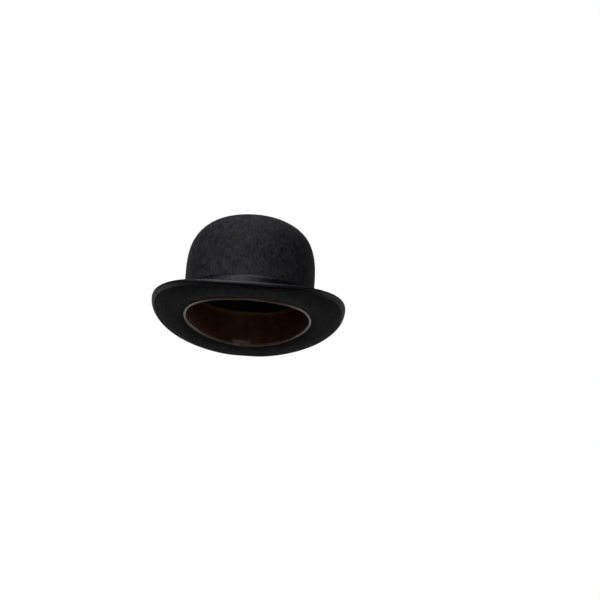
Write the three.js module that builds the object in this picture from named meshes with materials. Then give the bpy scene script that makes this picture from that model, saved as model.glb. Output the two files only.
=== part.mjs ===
// A bowler hat: a stiff felt shell with a domed crown and a curled brim, trimmed outside with grosgrain
// ribbon, and fitted inside with a leather sweatband on a reed and a satin lining.
//
// Millimetres. +Z runs up through the crown, the front of the hat faces -Y, and the wearer's left, where
// the bow is, is +X. The origin lies under the middle of the head opening, in the plane of the two flats,
// one at the front and one at the back, that the brim rests on.

import * as THREE from "three";
import { ParametricGeometry } from "three/addons/geometries/ParametricGeometry.js";

// ---------------------------------------------------------------------------------------------------
// Driving dimensions

const HEAD_HALF_WIDTH = 82.1; // inside of the felt wall, side to side
const HEAD_HALF_LENGTH = 100.1; // inside of the felt wall, front to back
const FELT = 2; // thickness of the felt
const GAP = 0.3; // air between two pieces that touch

const CROWN_TOP = 131; // height of the felt's inside at the top of the crown
const WALL_TOP = 57.8; // height where the straight wall turns into the dome
const DOME_SQUARENESS = 3.19; // 2 would be a plain ellipse, more is a fuller shoulder

const BRIM_HALF_WIDTH = 124.1; // felt edge, without its binding
const BRIM_HALF_LENGTH = 151.3;
const BRIM_SQUARENESS = 2.27;
const BREAK_RADIUS = 3; // underside radius where the wall turns into the brim
const BREAK_STEPS = 2; // facets of that radius
const LIP_RADIUS = 3; // underside radius of the turned-up edge
const LIP_STRAIGHT = 0.8; // upright part of the edge above that radius
const LIP_STEPS = 3; // facets of that radius
const HEAD_DROP = 2; // height of the brim's break above the resting flats
const FLAT_START = 0.5; // where the resting flat starts, as a share of the brim's width
const FLAT_END = 0.72; // where it ends
const EDGE_LIFT = 1.65; // rise of the brim from the flat to its lip, front and back
const SIDE_LIFT = 6.2; // how much higher the break is at the sides
const SIDE_RISE = 16.7; // how much higher the brim's outer part is at the sides
const FLAT_HALF_COSINE = 0.135; // the brim's rise starts outside this cosine of the angle from the side
const SIDE_POWER = 1.6; // how late the rise comes on the way from the front to the side
const CURL_POWER = 2.2; // how late the rise comes on the way out from the crown

const RIBBON = 0.7; // thickness of the hat band
const BAND_FOOT = 1.2; // bottom of the band above the brim's upper face
const BAND_TOP = 32; // top of the band at the front and back
const BINDING = 0.5; // thickness of the binding ribbon
const BINDING_TUCK = 2.6; // how far the binding reaches in from the foot of the lip

const LEATHER = 0.7; // thickness of the sweatband
const LEATHER_FACE = -2.1; // its inner face, from the felt wall, negative towards the head
const SWEATBAND_TOP = 49.4; // height of its upper edge
const ROLL_RADIUS = 1.7; // outside of the roll at its lower edge
const ROLL_IN = -1.1; // centre of the roll from the felt wall
const ROLL_UP = 0.1; // centre of the roll above the break
const ROLL_START = 155; // where the leather starts round the reed, in degrees of the section
const ROLL_END = 385;
const ROLL_STEPS = 8; // facets of the roll
const ROLL_CLEAR = 2.4; // straight part of the leather ends this far above the roll's centre
const REED_RADIUS = 0.7;
const REED_SIDES = 6;
const TAPE = 0.4; // thickness of the reed tape
const TAPE_FOOT = 3.2; // bottom of the tape above the break
const TAPE_WIDTH = 8;
const LINING = 0.3; // thickness of the lining satin
const LINING_FOOT = 21; // height of the lining's lower edge, behind the sweatband
const DOME_STEPS = 8; // facets from the wall to the top of the crown
const TIP_STEPS = 3; // how many of those the lining's tip covers
const SEAM_SHARE = 0.06; // share of a dome step left open between the lining's side and its tip

const THREAD = 0.2; // half width of a sewing thread
const THREAD_SIDES = 4;
const STITCH_UP = 4.2; // the sweatband's stitching above the break
const UNDER_STITCH = 2; // the binding line's point that the thread under the brim lies on
const TOP_STITCH = -3; // and the point for the thread on top, counted from the line's end

const TAB_WIDTH = 26; // tab over the sweatband's join
const TAB_TOP = 8.5; // height of its upper edge
const TAB_CENTRE = -6; // its middle, to the wearer's right of the centre line
const TAB_POINTS = 5; // how many of the leather line's points the tab covers

const TICKET_WIDTH = 30; // blank size ticket behind the sweatband
const TICKET_START = 1.5; // its near edge, in ticket widths from the middle of the back
const TICKET_FOOT = 25;
const TICKET_TOP = 45;
const TICKET_THICKNESS = 0.2;

const BOW_HALF_WIDTH = 40; // outer ends of the bow's tails, along the crown
const LOOP_HALF_WIDTH = 32; // outer ends of its loops
const TAIL_HALF_HEIGHTS = [8.5, 12.5]; // at the knot, and at the outer ends
const LOOP_HALF_HEIGHTS = [8, 13.2];
const LOOP_PINCH = 2; // thickness of the loops at the knot
const LOOP_PUFF = 2.3; // how far they swell above that between the knot and the outer ends
const LOOP_FALL = 1.0; // how much thinner they are at the outer ends
const LOOP_EDGE = 0.5; // how much thinner they are along their edges
const LOOP_FACE = 0.7; // share of their height that has the full thickness
const KNOT_HALF_WIDTH = 5.5;
const KNOT_CLEAR = 9.7; // half height inside the knot
const KNOT_THICKNESS = 0.6;

const SEGMENTS = 48; // steps round the hat
const BOW_STEPS = 14; // steps along the bow
const SHORT_STEPS = 4; // steps along a short piece
const FULL_TURN = 2 * Math.PI;
const BACK = Math.PI / 2; // angle of the back of the hat; the wearer's left is 0

// ---------------------------------------------------------------------------------------------------
// The hat's shape: an upright section at each angle, in h, outwards from the felt wall, and height z

const point = (h, z) => new THREE.Vector2(h, z);

// How much of the side's lift and rise a section has: none on the resting flats, all at the sides.
function sideShare(angle) {
  const past = Math.abs(Math.cos(angle)) - FLAT_HALF_COSINE;
  return (Math.max(0, past) / (1 - FLAT_HALF_COSINE)) ** SIDE_POWER;
}

// The felt wall's foot: an ellipse round the head.
function wallFoot(angle) {
  const x = HEAD_HALF_WIDTH * Math.cos(angle);
  return new THREE.Vector2(x, HEAD_HALF_LENGTH * Math.sin(angle));
}

// Width of the brim's felt, from the wall to the edge's outermost point.
function brimReach(angle) {
  const foot = wallFoot(angle);
  const out = foot.clone().normalize();
  const across = (Math.abs(out.x) / BRIM_HALF_WIDTH) ** BRIM_SQUARENESS;
  const along = (Math.abs(out.y) / BRIM_HALF_LENGTH) ** BRIM_SQUARENESS;
  return (across + along) ** (-1 / BRIM_SQUARENESS) - foot.length();
}

const breakHeight = (angle) => HEAD_DROP + SIDE_LIFT * sideShare(angle);

// Height of the brim's underside at a share of its width, from 0 at the break to 1 at the lip.
function brimHeight(angle, share) {
  const drop = HEAD_DROP * Math.max(0, 1 - share / FLAT_START) ** 2;
  const lift = EDGE_LIFT * Math.max(0, (share - FLAT_END) / (1 - FLAT_END)) ** 2;
  const side = SIDE_LIFT * (1 - share ** 2) + SIDE_RISE * share ** CURL_POWER;
  return drop + lift + side * sideShare(angle);
}

// Slope of the brim's underside where the lip starts.
function lipSlope(angle) {
  const step = 0.01;
  const rise = brimHeight(angle, 1) - brimHeight(angle, 1 - step);
  return Math.atan2(rise, step * (brimReach(angle) - BREAK_RADIUS - LIP_RADIUS));
}

// One point of the brim's underside, a distance in from the foot of the lip.
function brimUnder(angle, inwards) {
  const lipFoot = brimReach(angle) - LIP_RADIUS * (1 - Math.sin(lipSlope(angle)));
  const width = lipFoot - BREAK_RADIUS;
  return point(lipFoot - inwards, brimHeight(angle, 1 - inwards / width));
}

// The lip's underside: a curve from the brim's slope to upright, and a short upright edge.
function lipUnder(angle) {
  const slope = lipSlope(angle);
  const foot = brimUnder(angle, 0);
  const x = foot.x - LIP_RADIUS * Math.sin(slope);
  const z = foot.y + LIP_RADIUS * Math.cos(slope);
  const curve = new THREE.ArcCurve(x, z, LIP_RADIUS, slope - Math.PI / 2, 0, false).getPoints(
    LIP_STEPS,
  );
  return [...curve, point(x + LIP_RADIUS, z + LIP_STRAIGHT)];
}

// The inside of the dome between two of its steps, where 0 is the top of the crown.
function dome(angle, first, last) {
  const head = wallFoot(angle).length();
  const power = 2 / DOME_SQUARENESS;
  return Array.from({ length: Math.ceil(last - first) + 1 }, (_, k) => {
    const step = k === 0 ? first : Math.floor(first) + k;
    const turn = (step / DOME_STEPS) * (Math.PI / 2);
    const radius = Math.sin(turn) ** power;
    const height = (CROWN_TOP - WALL_TOP) * Math.max(0, Math.cos(turn)) ** power;
    return point(head * (radius - 1), WALL_TOP + height);
  });
}

// The whole inside and underside of the felt, from the top of the crown to the brim's edge.
function feltUnder(angle) {
  const foot = breakHeight(angle);
  const turn = new THREE.ArcCurve(
    BREAK_RADIUS,
    foot + BREAK_RADIUS,
    BREAK_RADIUS,
    Math.PI,
    1.5 * Math.PI,
    false,
  );
  const width = brimUnder(angle, 0).x - BREAK_RADIUS;
  const shares = [FLAT_START / 2, FLAT_START, FLAT_END, (1 + FLAT_END) / 2];
  const brim = shares.map((share) => brimUnder(angle, width * (1 - share)));
  return [...dome(angle, 0, DOME_STEPS), ...turn.getPoints(BREAK_STEPS), ...brim, ...lipUnder(angle)];
}

// A section moved sideways by a distance: outwards on the crown and upwards on the brim.
function offset(section, distance) {
  return section.map((here, k) => {
    const before = section[Math.max(0, k - 1)];
    const after = section[Math.min(section.length - 1, k + 1)];
    const into = here.clone().sub(before).normalize();
    const on = after.clone().sub(here).normalize();
    const along = into.clone().add(on).normalize();
    const spread = k === 0 || k === section.length - 1 ? 1 : along.dot(on);
    return point(here.x - (along.y * distance) / spread, here.y + (along.x * distance) / spread);
  });
}

// ---------------------------------------------------------------------------------------------------
// Solids

// The loop of a strip's section: one side of it forwards, and the other side back.
const between = (side, otherSide) => [...side, ...otherSide.slice().reverse()];

// A strip that follows a section's line, between two distances from it.
const layer = (section, inner, outer) => between(offset(section, outer), offset(section, inner));

// A solid that sweeps a section's loop round the hat. It closes on itself, or runs from one angle to
// another and is closed at each end by folding its two sides together.
function swept(loopAt, start = 0, end = FULL_TURN, steps = SEGMENTS) {
  const angles = Array.from({ length: steps + 1 }, (_, k) => start + ((end - start) * k) / steps);
  const ring = (angle, loop) => {
    const foot = wallFoot(angle);
    const out = foot.clone().normalize();
    return [...loop, loop[0]].map(({ x: h, y: z }) => {
      const radius = Math.max(0, foot.length() + h);
      return new THREE.Vector3(out.x * radius, out.y * radius, z);
    });
  };
  const folded = (loop) =>
    loop.map((p, k) => p.clone().lerp(loop[loop.length - 1 - k], 0.5));
  const rings = angles.map((angle) => ring(angle, loopAt(angle)));
  if (end - start < FULL_TURN) {
    rings.unshift(ring(start, folded(loopAt(start))));
    rings.push(ring(end, folded(loopAt(end))));
  } else {
    rings[steps] = rings[0];
  }
  const across = rings.length - 1;
  const round = rings[0].length - 1;
  const cornerAt = (u, v, target) =>
    target.copy(rings[Math.round(v * across)][Math.round(u * round)]);
  return new ParametricGeometry(cornerAt, round, across);
}

// A round cord's section, centred on a point.
const cord = (centre, radius, sides) =>
  Array.from({ length: sides }, (_, k) => {
    const turn = (-FULL_TURN * (k + 0.5)) / sides;
    return point(centre.x + radius * Math.cos(turn), centre.y + radius * Math.sin(turn));
  });

// A box-shaped section between two distances from the wall and two heights.
const slab = (inner, outer, low, high) => [
  point(outer, high),
  point(outer, low),
  point(inner, low),
  point(inner, high),
];

// The angle, from a centre angle, of a distance along the crown's wall.
function angleAlong(centreAngle, distance) {
  const step = 0.01;
  const wall = wallFoot(centreAngle + step).distanceTo(wallFoot(centreAngle - step)) / (2 * step);
  return centreAngle + distance / wall;
}

// ---------------------------------------------------------------------------------------------------
// The felt and its outside trim

const feltBody = () =>
  swept((angle) => {
    const under = feltUnder(angle);
    const top = offset(under, FELT);
    top[0].x = under[0].x;
    return between(top, under);
  });

const bandInner = FELT + GAP;
const bandOuter = bandInner + RIBBON;
const bandFoot = (angle) => breakHeight(angle) + FELT + BAND_FOOT;
const bandTop = (angle) => BAND_TOP + SIDE_LIFT * sideShare(angle);
const BAND_SLIT = 0.004; // angle between the band's ends and the middle of the bow that hides them

const hatBand = () =>
  swept(
    (angle) => slab(bandInner, bandOuter, bandFoot(angle), bandTop(angle)),
    BAND_SLIT,
    FULL_TURN - BAND_SLIT,
  );

// The line of the binding at a distance outside the felt: in under the brim, round the edge, and back.
function bindingLine(angle, distance) {
  const tail = [BINDING_TUCK, BINDING_TUCK / 2].map((inwards) => brimUnder(angle, inwards));
  const under = [...tail, ...lipUnder(angle)];
  const below = offset(under, -distance);
  const above = offset(under, FELT + distance).reverse();
  const raise = (p) => point(p.x, p.y + distance);
  return [...below.slice(0, -1), raise(below.at(-1)), raise(above[0]), ...above.slice(1)];
}

const brimBinding = () =>
  swept((angle) => between(bindingLine(angle, GAP), bindingLine(angle, GAP + BINDING)));

// Stitching that holds the binding: one thread above the brim and one below.
const bindingThread = (place) =>
  swept((angle) => {
    const cover = bindingLine(angle, GAP + BINDING + GAP + THREAD);
    return cord(cover.at(place), THREAD * Math.SQRT2, THREAD_SIDES);
  });

// ---------------------------------------------------------------------------------------------------
// The bow, flat on the band at the wearer's left

const bowMiddle = (angle) => (bandFoot(angle) + bandTop(angle)) / 2;
const TAIL_INNER = bandOuter + GAP;
const TAIL_OUTER = TAIL_INNER + BINDING;
const LOOP_INNER = TAIL_OUTER + GAP;
const LOOP_AT_KNOT = LOOP_INNER + LOOP_PINCH;
const KNOT_RAISE = LOOP_PUFF * Math.sin((Math.PI * KNOT_HALF_WIDTH) / LOOP_HALF_WIDTH);

// Half the bow's height: pinched at the knot, full at the outer ends.
function bowHalfHeight(angle, [atKnot, atEnd]) {
  const share = Math.min(1, Math.abs(angle) / Math.abs(angleAlong(0, BOW_HALF_WIDTH)));
  return THREE.MathUtils.lerp(atKnot, atEnd, Math.sin((share * Math.PI) / 2) ** 2);
}

const bowTails = () => {
  const end = angleAlong(0, BOW_HALF_WIDTH);
  const loopAt = (angle) => {
    const half = bowHalfHeight(angle, TAIL_HALF_HEIGHTS);
    return slab(TAIL_INNER, TAIL_OUTER, bowMiddle(angle) - half, bowMiddle(angle) + half);
  };
  return swept(loopAt, -end, end, BOW_STEPS);
};

const bowLoops = () => {
  const end = angleAlong(0, LOOP_HALF_WIDTH);
  const loopAt = (angle) => {
    const half = bowHalfHeight(angle, LOOP_HALF_HEIGHTS);
    const flat = half * LOOP_FACE;
    const share = Math.abs(angle) / end;
    const outer = LOOP_AT_KNOT + LOOP_PUFF * Math.sin(share * Math.PI) - LOOP_FALL * share ** 4;
    const middle = bowMiddle(angle);
    const top = [point(LOOP_INNER, middle + half), point(outer - LOOP_EDGE, middle + half)];
    const face = [point(outer, middle + flat), point(outer, middle - flat)];
    const foot = [point(outer - LOOP_EDGE, middle - half), point(LOOP_INNER, middle - half)];
    return [...top, ...face, ...foot];
  };
  return swept(loopAt, -end, end, BOW_STEPS);
};

const bowKnot = () => {
  const end = angleAlong(0, KNOT_HALF_WIDTH);
  const loopAt = (angle) => {
    const inner = LOOP_AT_KNOT + KNOT_RAISE + GAP;
    const line = (spread, h) => [
      point(TAIL_INNER, bowMiddle(angle) + spread),
      point(h, bowMiddle(angle) + spread),
      point(h, bowMiddle(angle) - spread),
      point(TAIL_INNER, bowMiddle(angle) - spread),
    ];
    return between(
      line(KNOT_CLEAR + KNOT_THICKNESS, inner + KNOT_THICKNESS),
      line(KNOT_CLEAR, inner),
    );
  };
  return swept(loopAt, -end, end, SHORT_STEPS);
};

// ---------------------------------------------------------------------------------------------------
// The sweatband and the lining

const rollCentre = (angle) => point(ROLL_IN, breakHeight(angle) + ROLL_UP);
const JOIN_SLIT = 0.004; // angle between the sweatband's ends and the middle of the back

// The middle of the leather: down the wall, and round the reed at the brim's break.
function leatherLine(angle) {
  const middle = LEATHER_FACE + LEATHER / 2;
  const centre = rollCentre(angle);
  const roll = new THREE.ArcCurve(
    centre.x,
    centre.y,
    ROLL_RADIUS - LEATHER / 2,
    THREE.MathUtils.degToRad(ROLL_START),
    THREE.MathUtils.degToRad(ROLL_END),
    false,
  );
  const wall = [point(middle, SWEATBAND_TOP), point(middle, centre.y + ROLL_CLEAR)];
  return [...wall, ...roll.getPoints(ROLL_STEPS)];
}

const aroundFromBack = (loopAt) =>
  swept(loopAt, BACK + JOIN_SLIT, BACK + FULL_TURN - JOIN_SLIT);

const sweatband = () =>
  aroundFromBack((angle) => layer(leatherLine(angle), -LEATHER / 2, LEATHER / 2));

const sweatbandReed = () =>
  aroundFromBack((angle) => cord(rollCentre(angle), REED_RADIUS, REED_SIDES));

const tapeFace = LEATHER_FACE + LEATHER + GAP;
const reedTape = () =>
  aroundFromBack((angle) => {
    const foot = breakHeight(angle) + TAPE_FOOT;
    return slab(tapeFace, tapeFace + TAPE, foot, foot + TAPE_WIDTH);
  });

// The tab is glued over the join: down the sweatband's face and onto the roll.
const tabMiddle = angleAlong(BACK, -TAB_CENTRE);
const tabHalf = angleAlong(BACK, TAB_WIDTH / 2) - BACK;

const backJoinTab = () => {
  const outer = -LEATHER / 2 - GAP;
  const line = (angle) => {
    const [top, ...foot] = leatherLine(angle).slice(0, TAB_POINTS);
    return [point(top.x, TAB_TOP), ...foot];
  };
  return swept(
    (angle) => layer(line(angle), outer - BINDING, outer),
    tabMiddle - tabHalf,
    tabMiddle + tabHalf,
    SHORT_STEPS,
  );
};

// The stitching above the roll, which starts and ends beside the tab.
const sweatbandThread = () => {
  const clear = angleAlong(BACK, 2 * GAP) - BACK;
  const loopAt = (angle) => {
    const face = LEATHER_FACE - GAP - THREAD;
    const stitch = point(face, breakHeight(angle) + STITCH_UP);
    return cord(stitch, THREAD * Math.SQRT2, THREAD_SIDES);
  };
  return swept(
    loopAt,
    tabMiddle + tabHalf + clear,
    tabMiddle - tabHalf - clear + FULL_TURN,
  );
};

const sizeTicket = () => {
  const width = angleAlong(BACK, TICKET_WIDTH) - BACK;
  const start = BACK + TICKET_START * width;
  const face = LEATHER_FACE + LEATHER + GAP;
  const card = slab(face, face + TICKET_THICKNESS, TICKET_FOOT, TICKET_TOP);
  return swept(() => card, start, start + width, SHORT_STEPS);
};

const liningInner = -GAP - LINING;

const liningSide = () =>
  swept((angle) => {
    const line = [...dome(angle, TIP_STEPS + SEAM_SHARE, DOME_STEPS), point(0, LINING_FOOT)];
    return layer(line, liningInner, -GAP);
  });

const liningTip = () =>
  swept((angle) => {
    const line = dome(angle, 0, TIP_STEPS);
    const top = offset(line, -GAP);
    const under = offset(line, liningInner);
    top[0].x = line[0].x;
    under[0].x = line[0].x;
    return between(top, under);
  });

// ---------------------------------------------------------------------------------------------------
// The assembly

const finish = (color, roughness) =>
  new THREE.MeshStandardMaterial({ color, roughness, metalness: 0, side: THREE.DoubleSide });

const felt = finish(0x17171a, 0.95);
const ribbon = finish(0x1d1c22, 0.6);
const tan = finish(0xb08a68, 0.7);
const leather = finish(0x4a2410, 0.5);
const cane = finish(0xc9b58a, 0.5);
const cotton = finish(0x2a2826, 0.9);
const satin = finish(0x101014, 0.35);
const paper = finish(0xe8e4d8, 0.9);
const sewing = finish(0x121214, 0.7);

const hat = new THREE.Group();
const pieces = [
  ["felt_body", feltBody(), felt],
  ["hat_band", hatBand(), ribbon],
  ["brim_binding", brimBinding(), ribbon],
  ["binding_thread_under", bindingThread(UNDER_STITCH), sewing],
  ["binding_thread_top", bindingThread(TOP_STITCH), sewing],
  ["bow_tails", bowTails(), ribbon],
  ["bow_loops", bowLoops(), ribbon],
  ["bow_knot", bowKnot(), ribbon],
  ["sweatband", sweatband(), leather],
  ["sweatband_reed", sweatbandReed(), cane],
  ["reed_tape", reedTape(), cotton],
  ["sweatband_thread", sweatbandThread(), sewing],
  ["back_join_tab", backJoinTab(), tan],
  ["size_ticket", sizeTicket(), paper],
  ["lining_side", liningSide(), satin],
  ["lining_tip", liningTip(), satin],
];
for (const [name, geometry, material] of pieces) {
  const mesh = new THREE.Mesh(geometry, material);
  mesh.name = name;
  hat.add(mesh);
}

export default hat;
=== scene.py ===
"""A black felt bowler hat with its ribbon trim, leather sweatband and satin lining.

Every piece but the stitches is swept, most of them round the hat from an upright section at each
angle. A section is drawn in millimetres, in h, outwards from the felt wall, and z, height above the
table.
"""

import math

import bmesh
import bpy
import numpy as np
from mathutils import Matrix, Vector


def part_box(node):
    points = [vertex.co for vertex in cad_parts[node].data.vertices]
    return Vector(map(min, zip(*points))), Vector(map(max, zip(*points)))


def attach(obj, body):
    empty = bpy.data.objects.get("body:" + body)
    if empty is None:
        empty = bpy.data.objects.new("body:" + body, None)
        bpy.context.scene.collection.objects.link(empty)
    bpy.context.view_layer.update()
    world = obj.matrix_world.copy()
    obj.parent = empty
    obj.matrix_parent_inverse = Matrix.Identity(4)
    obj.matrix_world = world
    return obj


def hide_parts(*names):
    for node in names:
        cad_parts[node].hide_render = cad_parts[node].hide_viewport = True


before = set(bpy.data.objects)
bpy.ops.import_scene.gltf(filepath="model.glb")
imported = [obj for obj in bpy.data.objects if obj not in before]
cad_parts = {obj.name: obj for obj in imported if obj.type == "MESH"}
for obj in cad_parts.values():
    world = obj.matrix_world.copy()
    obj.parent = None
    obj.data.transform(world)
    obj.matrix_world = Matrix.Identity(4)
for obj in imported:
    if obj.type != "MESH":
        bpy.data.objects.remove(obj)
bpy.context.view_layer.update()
MM = 0.001
TURN = 2 * math.pi
BACK = math.pi / 2  # angle of the back of the hat; the wearer's left is 0
RNG = np.random.default_rng(7)

# ----------------------------------------------------------
# Sizes, in millimetres


def extent(node):
    """Lowest and highest corner of a CAD node, in millimetres."""
    low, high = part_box(node)
    return np.array(low) / MM, np.array(high) / MM


FELT = 2.0  # thickness of the felt
GAP = 0.3  # air between two pieces that touch
RIBBON = 0.7  # thickness of the hat band
BINDING = 0.5  # thickness of the narrower ribbons

HEAD_HALF_WIDTH = 82.1  # inside of the felt wall
HEAD_HALF_LENGTH = 100.1
CROWN_TOP = extent("felt_body")[1][2] - FELT
WALL_TOP = 57.8  # where the straight wall turns into the dome
DOME_POWER = 2 / 3.19
BRIM_HALF_WIDTH, BRIM_HALF_LENGTH = extent("felt_body")[1][:2]
BRIM_SQUARENESS = 2.27  # 2 would be an ellipse
BREAK_RADIUS = 3.0  # of the turn from the wall into the brim
LIP_RADIUS = 3.0  # of the turn at the brim's edge
LIP_STRAIGHT = 0.8
HEAD_DROP = 2.0  # height of the break at the front and the back
FLAT_START = 0.5  # the brim is flat between these shares of its width
FLAT_END = 0.72
EDGE_LIFT = 1.65  # rise of the edge at the front and the back
SIDE_LIFT = 6.2  # rise of the break at the sides
SIDE_RISE = 16.7  # rise of the edge at the sides
FLAT_HALF_COSINE = 0.135  # how far round the front and the back stay flat
SIDE_POWER = 1.6
CURL_POWER = 2.2

BAND_FOOT = 1.2  # above the felt at the break
BAND_TOP = 32.0
BINDING_TUCK = 2.6  # how far the binding reaches in from the lip

LEATHER = 0.7
LEATHER_FACE = -2.1  # place of its inner face, from the felt wall
SWEATBAND_TOP = extent("sweatband")[1][2]
ROLL_RADIUS = 1.7
ROLL_IN = -1.1  # middle of the roll, from the felt wall and from the break
ROLL_UP = 0.1
STITCH_UP = 4.2
STITCHED_LENGTH = TURN * 88
LINING = 0.3
LINING_FOOT = extent("lining_side")[0][2]
TIP_SHARE = 0.692  # edge of the lining's tip, as a share of the crown's radius

RIB = 0.95  # pitch of the grosgrain's ribs

# ----------------------------------------------------------
# The hat's shape. Angles are columns and stations along a section are rows of each array.


def ramp(value, start, end):
    """0 up to the start, 1 from the end, and straight in between."""
    return np.clip((value - start) / (end - start), 0, 1)


def bell(value, middle, width):
    return np.exp(-(((value - middle) / width) ** 2))


def distance_along(points, closed=True):
    """Distance to each point of a line, and once round as well where it is closed."""
    line = np.concatenate([points, points[:1]]) if closed else points
    step = np.linalg.norm(np.diff(line, axis=0), axis=1)
    return np.concatenate([[0], np.cumsum(step)])


def side_share(angle):
    """0 at the flat front and back, 1 at the sides."""
    past = np.abs(np.cos(angle)) - FLAT_HALF_COSINE
    return (np.maximum(0, past) / (1 - FLAT_HALF_COSINE)) ** SIDE_POWER


def wall_foot(angle):
    """Distance of the felt wall from the middle, and the direction to it."""
    x = HEAD_HALF_WIDTH * np.cos(angle)
    y = HEAD_HALF_LENGTH * np.sin(angle)
    length = np.hypot(x, y)
    return length, x / length, y / length


def brim_reach(angle):
    length, out_x, out_y = wall_foot(angle)
    across = (np.abs(out_x) / BRIM_HALF_WIDTH) ** BRIM_SQUARENESS
    along = (np.abs(out_y) / BRIM_HALF_LENGTH) ** BRIM_SQUARENESS
    return (across + along) ** (-1 / BRIM_SQUARENESS) - length


def break_height(angle):
    return HEAD_DROP + SIDE_LIFT * side_share(angle)


def brim_height(angle, share):
    """Height of the brim's underside, at a share of its width from the break to the lip."""
    drop = HEAD_DROP * np.maximum(0, 1 - share / FLAT_START) ** 2
    lift = EDGE_LIFT * np.maximum(0, (share - FLAT_END) / (1 - FLAT_END)) ** 2
    side = SIDE_LIFT * (1 - share**2) + SIDE_RISE * np.maximum(0, share) ** CURL_POWER
    return drop + lift + side * side_share(angle)


def lip_slope(angle):
    step = 0.01
    rise = brim_height(angle, 1) - brim_height(angle, 1 - step)
    return np.arctan2(rise, step * (brim_reach(angle) - BREAK_RADIUS - LIP_RADIUS))


def lip_foot(angle):
    return brim_reach(angle) - LIP_RADIUS * (1 - np.sin(lip_slope(angle)))


def table(angle, *columns):
    """A section for each angle, from its stations' h and z: an array of angles by stations by 2."""
    made = [np.broadcast_to(np.asarray(c, float), angle.shape) for pair in columns for c in pair]
    return np.stack(made, 1).reshape(len(angle), -1, 2)


def arc(angle, centre_h, centre_z, radius, start, end, steps):
    """Sections along an arc; start and end are angles in the section, in radians."""
    share = np.linspace(0, 1, steps + 1)
    start, end = (np.broadcast_to(v, angle.shape)[:, None] for v in (start, end))
    turn = start * (1 - share) + end * share
    h = np.reshape(centre_h, (-1, 1)) + radius * np.cos(turn)
    z = np.reshape(centre_z, (-1, 1)) + radius * np.sin(turn)
    return np.stack([h, z], 2)


def dome(angle, first, last, steps):
    """Inside of the dome; 0 is the crown's top and 1 the top of the straight wall."""
    length = wall_foot(angle)[0]
    turn = np.linspace(first, last, steps + 1) * math.pi / 2
    radius = np.sin(turn) ** DOME_POWER
    height = (CROWN_TOP - WALL_TOP) * np.maximum(0, np.cos(turn)) ** DOME_POWER
    h = np.multiply.outer(length, radius - 1)
    return np.stack([h, np.broadcast_to(WALL_TOP + height, h.shape)], 2)


def brim_under(angle, shares):
    h = BREAK_RADIUS + np.multiply.outer(lip_foot(angle) - BREAK_RADIUS, shares)
    z = brim_height(angle[:, None], np.asarray(shares)[None, :])
    return np.stack([h, z], 2)


def lip_under(angle, steps):
    slope = lip_slope(angle)
    foot = lip_foot(angle)
    x = foot - LIP_RADIUS * np.sin(slope)
    z = brim_height(angle, 1) + LIP_RADIUS * np.cos(slope)
    curve = arc(angle, x, z, LIP_RADIUS, slope - math.pi / 2, 0, steps)
    edge = table(angle, (x + LIP_RADIUS, z + LIP_STRAIGHT))
    return np.concatenate([curve, edge], 1)


def felt_under(angle):
    """The felt's inside and underside, from the crown's top to the brim's edge."""
    turn_top = break_height(angle) + BREAK_RADIUS
    share = np.linspace(0, 1, 12)[None, 1:-1]
    wall_z = WALL_TOP * (1 - share) + turn_top[:, None] * share
    wall = np.stack([np.zeros_like(wall_z), wall_z], 2)
    turn = arc(angle, BREAK_RADIUS, turn_top, BREAK_RADIUS, math.pi, 1.5 * math.pi, 6)
    brim = brim_under(angle, np.linspace(0, 1, 34)[1:-1])
    return np.concatenate([dome(angle, 0, 1, 44), wall, turn, brim, lip_under(angle, 8)], 1)


def offset(section, distance):
    """A section moved sideways: outwards on the crown, upwards on the brim."""
    step = np.diff(section, axis=1)
    step /= np.linalg.norm(step, axis=2, keepdims=True)
    into = np.concatenate([step[:, :1], step], 1)
    on = np.concatenate([step, step[:, -1:]], 1)
    along = into + on
    along /= np.linalg.norm(along, axis=2, keepdims=True)
    spread = (along * on).sum(2)
    reach = np.broadcast_to(distance, spread.shape) / spread
    return section + np.stack([-along[..., 1], along[..., 0]], 2) * reach[..., None]


def place(angle, section):
    """Points in the row frame, in millimetres, from each angle's section."""
    length, out_x, out_y = (v[:, None] for v in wall_foot(angle))
    radius = np.maximum(0, length + section[..., 0])
    return np.stack([out_x * radius, out_y * radius, section[..., 1]], 2)


def handwork(points):
    """The small unevenness of a hand-blocked hat, the same for every piece at a place.

    Waves of arbitrary length and phase, with a crown a little fuller at the wearer's left.
    """
    x, y, z = (points[..., k] for k in range(3))
    swell = 0.35 * np.sin(x / 23 + 0.6) * np.sin(y / 31 + z / 27 + 1.1)
    swell = swell + 0.22 * np.sin(x / 13 - z / 17) * np.sin(y / 15 + 0.4)
    radius = np.maximum(1e-6, np.hypot(x, y))
    fade = ramp(radius, 0, 30) * ramp(z, 0, 40)
    fuller = 1.3 * bell(x, 38, 36) * bell(y, 0, 70) * ramp(z, 85, 110)
    moved = points.copy()
    moved[..., 0] += swell * x / radius * fade
    moved[..., 1] += swell * y / radius * fade
    moved[..., 2] += ramp(z, 110, 130) * 0.4 * np.sin(x / 29 + 0.5) * np.sin(y / 34 - 0.7)
    moved[..., 2] += fuller
    moved[..., 0] += 0.6 * fuller * ramp(x, 20, 60)
    moved[..., 0] += 1.1 * ramp(-x, 88, 122)
    return moved


def around(steps, start=0.0, end=TURN):
    """Angles round the hat, evenly spaced; the last is left out of a full turn."""
    full = abs(end - start - TURN) < 1e-9
    return np.linspace(start, end, steps + (0 if full else 1), endpoint=not full)


def angle_along(centre, distance):
    """The angle of a distance along the wall from a centre angle."""
    rate = np.hypot(HEAD_HALF_WIDTH * np.sin(centre), HEAD_HALF_LENGTH * np.cos(centre))
    return centre + distance / rate


# ----------------------------------------------------------
# Meshes


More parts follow.
